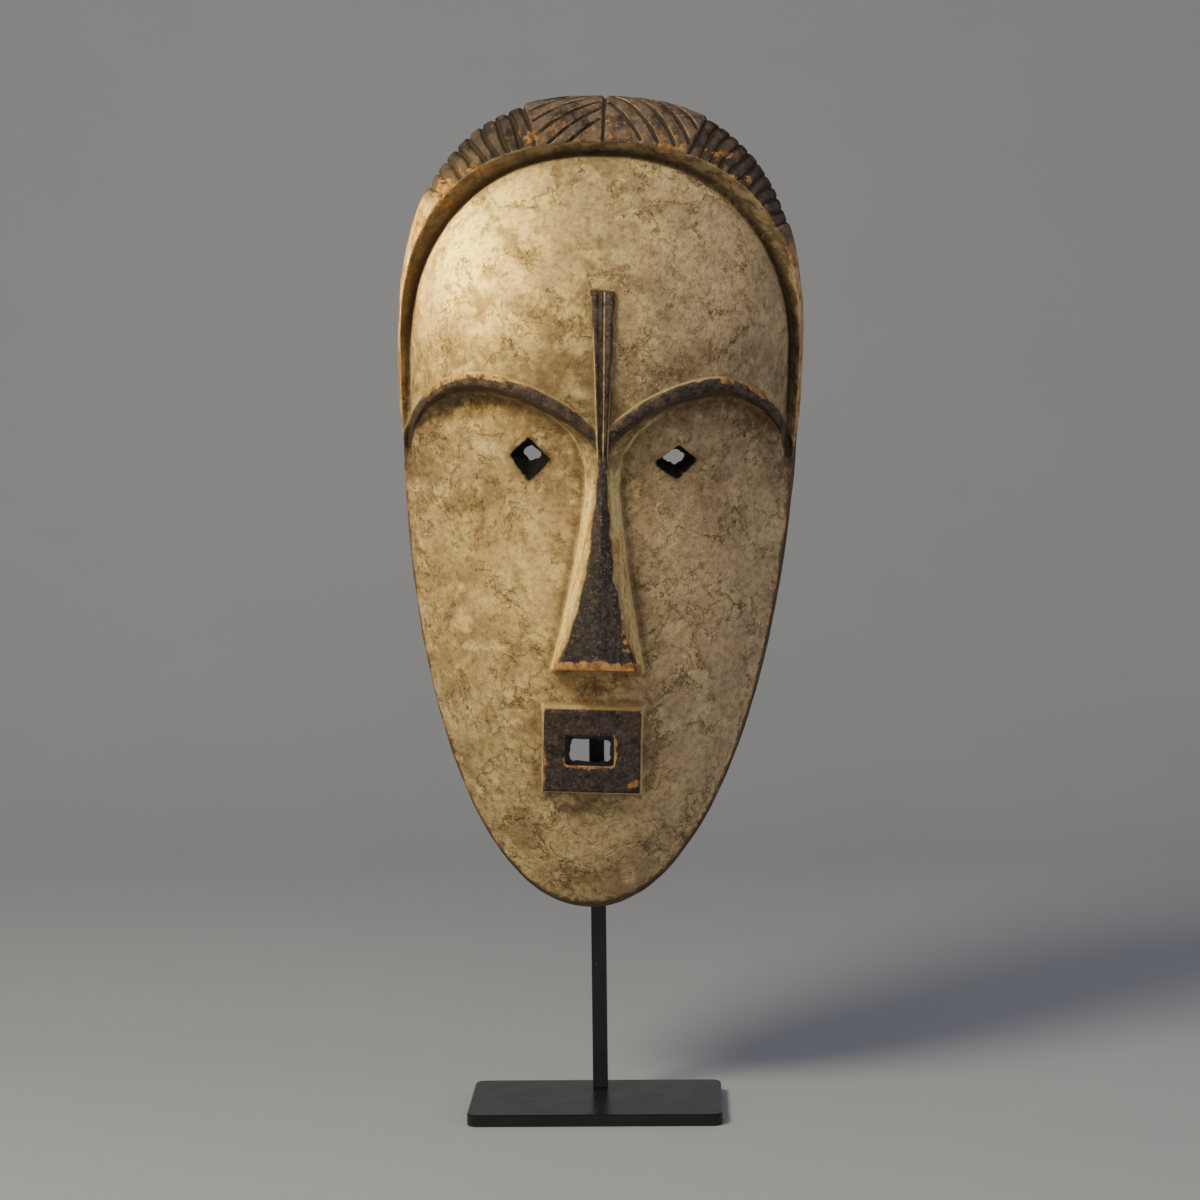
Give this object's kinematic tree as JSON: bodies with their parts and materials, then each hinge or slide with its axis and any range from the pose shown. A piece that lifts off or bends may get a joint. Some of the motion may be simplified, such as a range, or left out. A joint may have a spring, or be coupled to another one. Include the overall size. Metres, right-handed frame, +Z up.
{
  "type": "fang ngil mask on a steel display stand",
  "caption": "Tall carved and hollowed wooden mask with a domed forehead, long nose, arched brows and square mouth, held upright on a square rod with a flat foot.",
  "frame": {"origin": "the middle of the foot's underside, at table level", "axes": "+Z up, the mask faces -Y, +X to the right as the mask is looked at"},
  "size_m": [0.2663, 0.1561, 0.6662],
  "materials": {
    "painted_wood": "carved wood with a worn kaolin wash on the face and a dark brown stain on hair, brows, nose and mouth",
    "dark_steel": "satin blackened steel with slightly worn edges"
  },
  "bodies": {
    "root": {"mask": "painted_wood", "upright_rod": "dark_steel", "base_plate": "dark_steel"}
  },
  "joints": []
}
